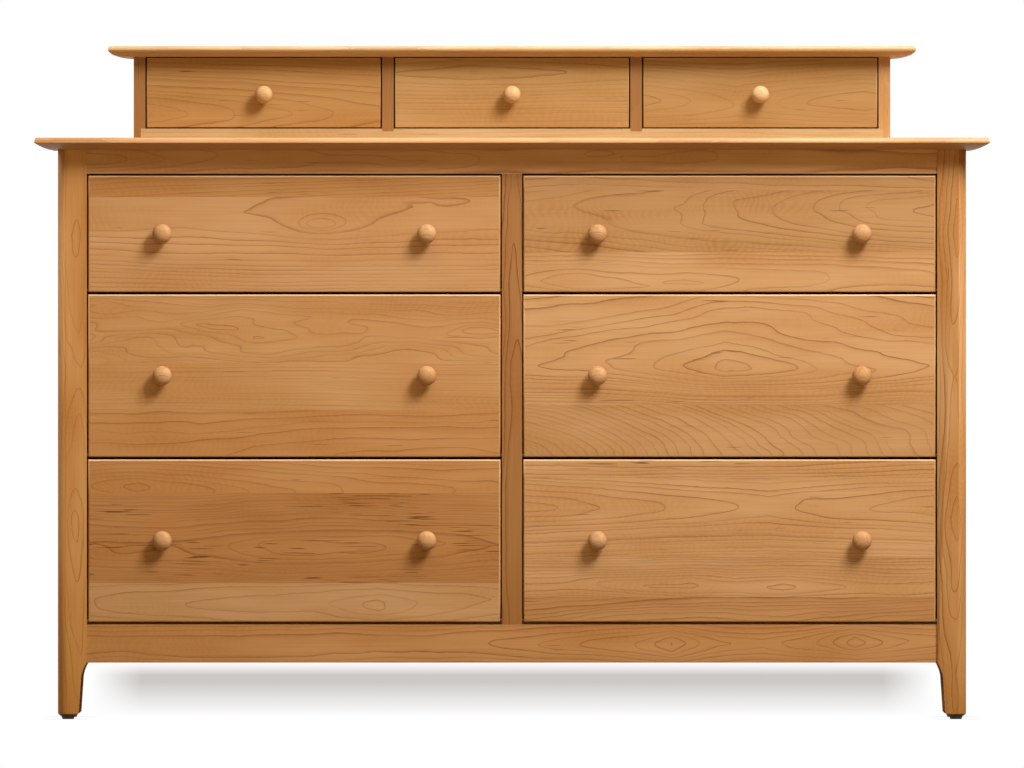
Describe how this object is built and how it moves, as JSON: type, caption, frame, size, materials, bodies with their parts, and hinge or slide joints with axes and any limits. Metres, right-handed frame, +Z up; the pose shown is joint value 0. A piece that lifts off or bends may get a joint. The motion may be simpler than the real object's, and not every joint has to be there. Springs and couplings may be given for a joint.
{
  "type": "dresser",
  "caption": "Wide cherry dresser on tapered legs: columns of large drawers with turned knobs, and a low set-back case of small drawers under a moulded top.",
  "frame": {"origin": "on the floor under the middle of the main top", "axes": "+X to the right seen from the front, +Y to the back, +Z up"},
  "size_m": [1.676, 0.47, 1.181],
  "materials": {
    "cherry": "satin oil over cherry",
    "knob_cherry": "satin oil, turned",
    "maple": "clear matt lacquer",
    "zinc_steel": "zinc plated",
    "black_plastic": "matt"
  },
  "bodies": {
    "case": {"main_top": "cherry", "front_left_leg": "cherry", "front_right_leg": "cherry", "rear_left_leg": "cherry", "rear_right_leg": "cherry", "top_front_rail": "cherry", "bottom_front_rail": "cherry", "centre_stile": "cherry", "side_panels": "cherry", "side_rails": "cherry", "back_rails": "cherry", "back_panels": "cherry", "upper_top": "cherry", "upper_sides": "cherry", "upper_dividers": "cherry", "upper_front_rail": "cherry", "centre_partition": "maple", "slide_battens": "maple", "upper_floor": "maple", "slide_channels": "zinc_steel", "foot_glides": "black_plastic"},
    "top_left_drawer": {"top_left_drawer_front": "cherry", "top_left_drawer_box": "maple", "top_left_drawer_knobs": "knob_cherry", "top_left_slide_carriages": "zinc_steel"},
    "top_left_beams": {"top_left_slide_beams": "zinc_steel"},
    "top_right_drawer": {"top_right_drawer_front": "cherry", "top_right_drawer_box": "maple", "top_right_drawer_knobs": "knob_cherry", "top_right_slide_carriages": "zinc_steel"},
    "top_right_beams": {"top_right_slide_beams": "zinc_steel"},
    "middle_left_drawer": {"middle_left_drawer_front": "cherry", "middle_left_drawer_box": "maple", "middle_left_drawer_knobs": "knob_cherry", "middle_left_slide_carriages": "zinc_steel"},
    "middle_left_beams": {"middle_left_slide_beams": "zinc_steel"},
    "middle_right_drawer": {"middle_right_drawer_front": "cherry", "middle_right_drawer_box": "maple", "middle_right_drawer_knobs": "knob_cherry", "middle_right_slide_carriages": "zinc_steel"},
    "middle_right_beams": {"middle_right_slide_beams": "zinc_steel"},
    "bottom_left_drawer": {"bottom_left_drawer_front": "cherry", "bottom_left_drawer_box": "maple", "bottom_left_drawer_knobs": "knob_cherry", "bottom_left_slide_carriages": "zinc_steel"},
    "bottom_left_beams": {"bottom_left_slide_beams": "zinc_steel"},
    "bottom_right_drawer": {"bottom_right_drawer_front": "cherry", "bottom_right_drawer_box": "maple", "bottom_right_drawer_knobs": "knob_cherry", "bottom_right_slide_carriages": "zinc_steel"},
    "bottom_right_beams": {"bottom_right_slide_beams": "zinc_steel"},
    "small_left_drawer": {"small_left_drawer_front": "cherry", "small_left_drawer_box": "maple", "small_left_drawer_knob": "knob_cherry"},
    "small_centre_drawer": {"small_centre_drawer_front": "cherry", "small_centre_drawer_box": "maple", "small_centre_drawer_knob": "knob_cherry"},
    "small_right_drawer": {"small_right_drawer_front": "cherry", "small_right_drawer_box": "maple", "small_right_drawer_knob": "knob_cherry"}
  },
  "joints": [
    {"name": "top_left_drawer_slide", "type": "slide", "parent": "case", "child": "top_left_drawer", "axis": [0, -1, 0], "range_m": [0, 0.35]},
    {"name": "top_left_beam_slide", "type": "slide", "parent": "case", "child": "top_left_beams", "axis": [0, -1, 0], "range_m": [0, 0.175]},
    {"name": "top_right_drawer_slide", "type": "slide", "parent": "case", "child": "top_right_drawer", "axis": [0, -1, 0], "range_m": [0, 0.35]},
    {"name": "top_right_beam_slide", "type": "slide", "parent": "case", "child": "top_right_beams", "axis": [0, -1, 0], "range_m": [0, 0.175]},
    {"name": "middle_left_drawer_slide", "type": "slide", "parent": "case", "child": "middle_left_drawer", "axis": [0, -1, 0], "range_m": [0, 0.35]},
    {"name": "middle_left_beam_slide", "type": "slide", "parent": "case", "child": "middle_left_beams", "axis": [0, -1, 0], "range_m": [0, 0.175]},
    {"name": "middle_right_drawer_slide", "type": "slide", "parent": "case", "child": "middle_right_drawer", "axis": [0, -1, 0], "range_m": [0, 0.35]},
    {"name": "middle_right_beam_slide", "type": "slide", "parent": "case", "child": "middle_right_beams", "axis": [0, -1, 0], "range_m": [0, 0.175]},
    {"name": "bottom_left_drawer_slide", "type": "slide", "parent": "case", "child": "bottom_left_drawer", "axis": [0, -1, 0], "range_m": [0, 0.35]},
    {"name": "bottom_left_beam_slide", "type": "slide", "parent": "case", "child": "bottom_left_beams", "axis": [0, -1, 0], "range_m": [0, 0.175]},
    {"name": "bottom_right_drawer_slide", "type": "slide", "parent": "case", "child": "bottom_right_drawer", "axis": [0, -1, 0], "range_m": [0, 0.35]},
    {"name": "bottom_right_beam_slide", "type": "slide", "parent": "case", "child": "bottom_right_beams", "axis": [0, -1, 0], "range_m": [0, 0.175]},
    {"name": "small_left_drawer_slide", "type": "slide", "parent": "case", "child": "small_left_drawer", "axis": [0, -1, 0], "range_m": [0, 0.26]},
    {"name": "small_centre_drawer_slide", "type": "slide", "parent": "case", "child": "small_centre_drawer", "axis": [0, -1, 0], "range_m": [0, 0.26]},
    {"name": "small_right_drawer_slide", "type": "slide", "parent": "case", "child": "small_right_drawer", "axis": [0, -1, 0], "range_m": [0, 0.26]}
  ],
  "couplings": [
    {"joint": "top_left_beam_slide", "follows": "top_left_drawer_slide", "ratio": 0.5},
    {"joint": "top_right_beam_slide", "follows": "top_right_drawer_slide", "ratio": 0.5},
    {"joint": "middle_left_beam_slide", "follows": "middle_left_drawer_slide", "ratio": 0.5},
    {"joint": "middle_right_beam_slide", "follows": "middle_right_drawer_slide", "ratio": 0.5},
    {"joint": "bottom_left_beam_slide", "follows": "bottom_left_drawer_slide", "ratio": 0.5},
    {"joint": "bottom_right_beam_slide", "follows": "bottom_right_drawer_slide", "ratio": 0.5}
  ]
}
